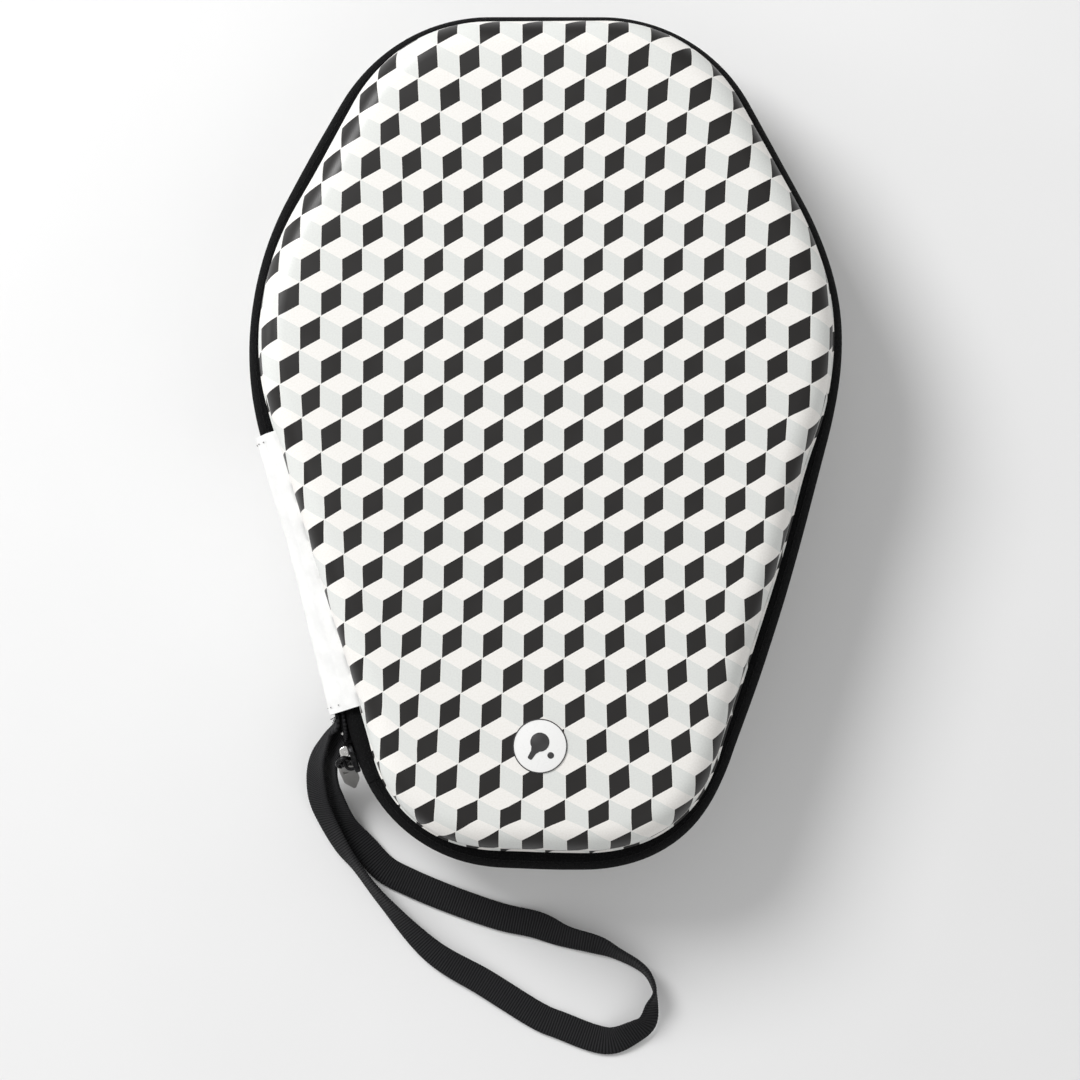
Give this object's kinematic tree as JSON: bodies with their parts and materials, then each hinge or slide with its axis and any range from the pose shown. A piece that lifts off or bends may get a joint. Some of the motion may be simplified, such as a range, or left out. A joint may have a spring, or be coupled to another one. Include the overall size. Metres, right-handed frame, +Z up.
{
  "type": "paddle case",
  "caption": "Hard moulded clamshell case for a table tennis bat, with a printed skin, a zip round the edge, a sewn hinge strip and a webbing wrist loop.",
  "frame": {"origin": "on the flat face the case rests on, under the middle of the case's length and width, which leaves out the wrist loop", "axes": "+Y to the wide blade end, +X to the right seen from above with the lid up, +Z up through the lid"},
  "size_m": [0.21, 0.3704, 0.0663],
  "materials": {
    "printed_skin": "glossy printed PU film over moulded foam, cube pattern in white, light grey and near black",
    "lining": "knitted tricot lining",
    "binding": "woven binding tape",
    "zip_tape": "woven zip tape, teeth on the inside",
    "zip_coil": "nylon coil",
    "hinge_leather": "smooth white PU leather",
    "webbing": "ribbed polyester webbing",
    "thread": "bar tack thread",
    "elastic": "woven elastic",
    "patch": "stitched cloth patch",
    "netting": "knitted mesh net",
    "badge_print": "glossy disc with a plain bat and ball sign",
    "slider_metal": "gunmetal plated zinc",
    "bridge_metal": "bright nickel plating",
    "puller_metal": "satin grey painted zinc"
  },
  "bodies": {
    "base": {"lower_shell": "printed_skin", "lower_lining": "lining", "lower_rim_binding": "binding", "lower_zip_tape": "zip_tape", "lower_zip_coil": "zip_coil", "upper_tape_tail": "zip_tape", "upper_coil_tail": "zip_coil", "hinge_strip": "hinge_leather", "hinge_lining": "lining", "strap_anchor": "webbing", "strap_bartack": "thread", "wrist_strap": "webbing", "blade_band": "elastic", "blade_band_patches": "patch", "handle_band": "elastic", "handle_band_patches": "patch"},
    "lid": {"upper_shell": "printed_skin", "upper_lining": "lining", "upper_rim_binding": "binding", "upper_zip_tape": "zip_tape", "upper_zip_coil": "zip_coil", "mesh_pocket": "netting", "pocket_elastic": "elastic", "pocket_binding": "binding", "badge": "badge_print"},
    "slider": {"zip_slider": "slider_metal", "slider_bridge": "bridge_metal"},
    "puller": {"zip_puller": "puller_metal"}
  },
  "joints": [
    {"name": "lid_hinge", "type": "hinge", "parent": "base", "child": "lid", "pos_m": [-0.0855, -0.04939, 0.033], "axis": [0.2918, -0.9565, 0], "range_deg": [0, 100], "deforming": ["hinge_strip", "hinge_lining", "upper_tape_tail", "upper_coil_tail"]},
    {"name": "slider_travel", "type": "hinge", "parent": "base", "child": "slider", "pos_m": [-0.01378, -0.096, 0.033], "axis": [0, 0, 1], "range_deg": [0, 72]},
    {"name": "puller_swing", "type": "hinge", "parent": "slider", "child": "puller", "pos_m": [-0.07059, -0.11334, 0.033], "axis": [-0.2918, 0.9565, 0], "range_deg": [0, 70]}
  ]
}
